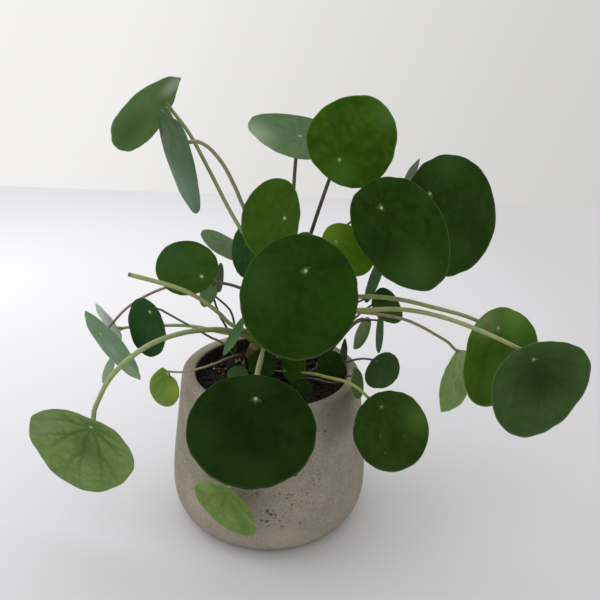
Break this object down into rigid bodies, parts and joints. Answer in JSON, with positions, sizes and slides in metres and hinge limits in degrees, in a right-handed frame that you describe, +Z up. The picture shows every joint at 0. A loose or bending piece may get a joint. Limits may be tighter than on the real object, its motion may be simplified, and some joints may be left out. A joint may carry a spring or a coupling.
{
  "type": "potted chinese money plant",
  "caption": "House plant with round flat leaves, each joined near its middle to a long thin stalk, growing with small offsets in soil in a rough concrete pot.",
  "frame": {"origin": "middle of the pot's foot, on the surface that it stands on", "axes": "+Z up, -Y the plant's front, +X to the right seen from the front"},
  "size_m": [0.3587, 0.2135, 0.3043],
  "materials": {
    "concrete": "rough cast concrete, beige grey, with small open pits",
    "soil": "crumbly dark potting soil",
    "wood": "bare brown stem with old leaf scars",
    "stalk": "smooth fleshy green stalk, satin",
    "thin_stalk": "thin brown-green stalk, satin",
    "leaf_deep": "deep green leaf, waxy",
    "leaf_mid": "mid green leaf, waxy",
    "leaf_fresh": "yellow-green leaf, waxy",
    "leaf_pale": "grey-green leaf, satin"
  },
  "bodies": {
    "root": {"pot": "concrete", "soil": "soil", "main_stem": "wood", "crown_and_stalks": "stalk", "offset_left_stalks": "thin_stalk", "offset_front_left_stalks": "thin_stalk", "offset_front_right_stalks": "thin_stalk", "offset_right_stalks": "thin_stalk", "offset_back_stalks": "thin_stalk", "leaf_top_left_folded": "leaf_pale", "leaf_top_left_hanging": "leaf_pale", "leaf_top_back": "leaf_pale", "leaf_top": "leaf_mid", "leaf_upper_right_back": "leaf_deep", "leaf_upper_right": "leaf_deep", "leaf_tip_far_right": "leaf_pale", "leaf_upper_middle": "leaf_mid", "leaf_centre": "leaf_deep", "leaf_behind_right": "leaf_fresh", "leaf_left": "leaf_mid", "leaf_left_grey": "leaf_pale", "leaf_behind_centre": "leaf_deep", "leaf_far_left": "leaf_pale", "leaf_far_left_back": "leaf_pale", "leaf_far_left_low": "leaf_pale", "leaf_low_left": "leaf_fresh", "leaf_front": "leaf_deep", "leaf_front_low": "leaf_fresh", "leaf_front_right": "leaf_mid", "leaf_far_right": "leaf_deep", "leaf_right": "leaf_fresh", "leaf_right_narrow": "leaf_pale", "leaf_hanging_by_stem": "leaf_pale", "leaf_young": "leaf_fresh", "leaf_back": "leaf_mid", "leaf_back_right": "leaf_deep", "offset_leaf_left_dark": "leaf_deep", "offset_leaf_left_thin": "leaf_pale", "offset_leaf_left_tiny": "leaf_pale", "offset_leaf_rim_left": "leaf_fresh", "offset_leaf_soil_grey": "leaf_pale", "offset_leaf_shade": "leaf_mid", "offset_leaf_inside_right": "leaf_deep", "offset_leaf_inside_middle": "leaf_mid", "offset_leaf_inside_front": "leaf_mid", "offset_leaf_rim_right": "leaf_deep", "offset_leaf_right_round": "leaf_mid", "offset_leaf_right_narrow": "leaf_pale", "offset_leaf_right_hanging": "leaf_pale", "offset_leaf_right_slim": "leaf_pale", "offset_leaf_right_dark": "leaf_deep", "offset_leaf_spike": "leaf_deep", "offset_leaf_back": "leaf_mid", "offset_leaf_back_left": "leaf_mid"}
  },
  "joints": []
}
